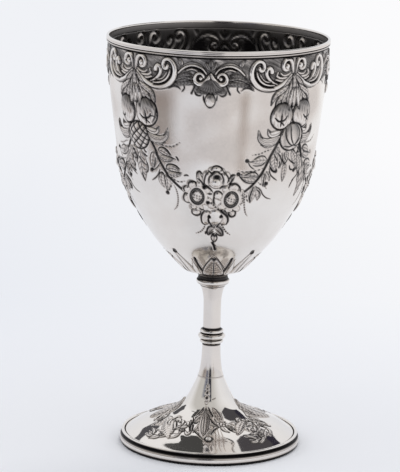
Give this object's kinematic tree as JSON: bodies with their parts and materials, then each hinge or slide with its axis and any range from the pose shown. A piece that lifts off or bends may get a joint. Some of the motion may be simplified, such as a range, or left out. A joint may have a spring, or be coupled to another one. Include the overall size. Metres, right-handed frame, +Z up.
{
  "type": "silver goblet",
  "caption": "Stemmed silver drinking goblet: deep chased bowl with a moulded rim, knopped hollow stem, and spread domed foot on a base ring.",
  "frame": {"origin": "centre of the base ring, on the plane that the goblet stands on", "axes": "+Z up along the axis of the turned pieces; -Y is the front of the ornament"},
  "size_m": [0.095, 0.095, 0.178],
  "materials": {
    "chased_silver": "polished sterling silver, chased in relief, with dark tarnish left in the hollows",
    "plain_silver": "polished sterling silver, plain turned and planished surface with fine handling scratches",
    "wire_silver": "polished drawn and turned silver moulding, bright on its crowns and dark in its grooves"
  },
  "bodies": {
    "root": {"foot_band": "wire_silver", "foot_bead": "wire_silver", "foot": "chased_silver", "lower_stem": "plain_silver", "upper_stem": "plain_silver", "knop_lower_reed": "wire_silver", "knop_middle_reed": "wire_silver", "knop_upper_reed": "wire_silver", "stem_collar": "wire_silver", "bowl_seat": "wire_silver", "bowl": "chased_silver", "rim_wire": "wire_silver"}
  },
  "joints": []
}
